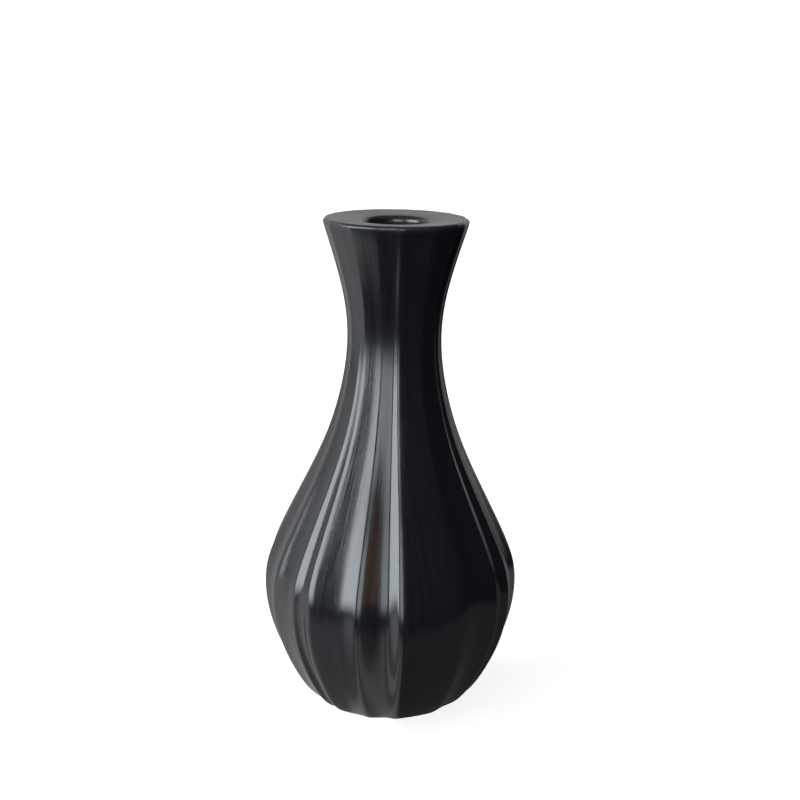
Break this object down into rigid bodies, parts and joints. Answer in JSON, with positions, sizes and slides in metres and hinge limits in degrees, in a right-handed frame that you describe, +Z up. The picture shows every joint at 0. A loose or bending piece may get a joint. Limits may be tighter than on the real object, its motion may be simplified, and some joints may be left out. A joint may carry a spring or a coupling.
{
  "type": "fluted clay vase",
  "caption": "Burnished black clay vase with a round fluted belly, a slim neck and a flared lip with a flat top around a small round mouth.",
  "frame": {"origin": "centre of the flat foot, on the surface that the vase stands on", "axes": "+Z up along the vase's axis, -Y towards the front of the vase, +X to its right"},
  "size_m": [0.1042, 0.1041, 0.2],
  "materials": {
    "burnished_clay": "black reduction-fired clay, stone-burnished to a soft gloss with fine upright strokes",
    "burnished_lip": "black reduction-fired clay, lightly burnished, greyer where the rim is rubbed",
    "unburnished_foot": "matt charcoal-grey bare clay"
  },
  "bodies": {
    "root": {"floor_disc": "unburnished_foot", "lower_belly": "burnished_clay", "upper_belly": "burnished_clay", "neck": "burnished_clay", "lip_ring": "burnished_lip"}
  },
  "joints": []
}
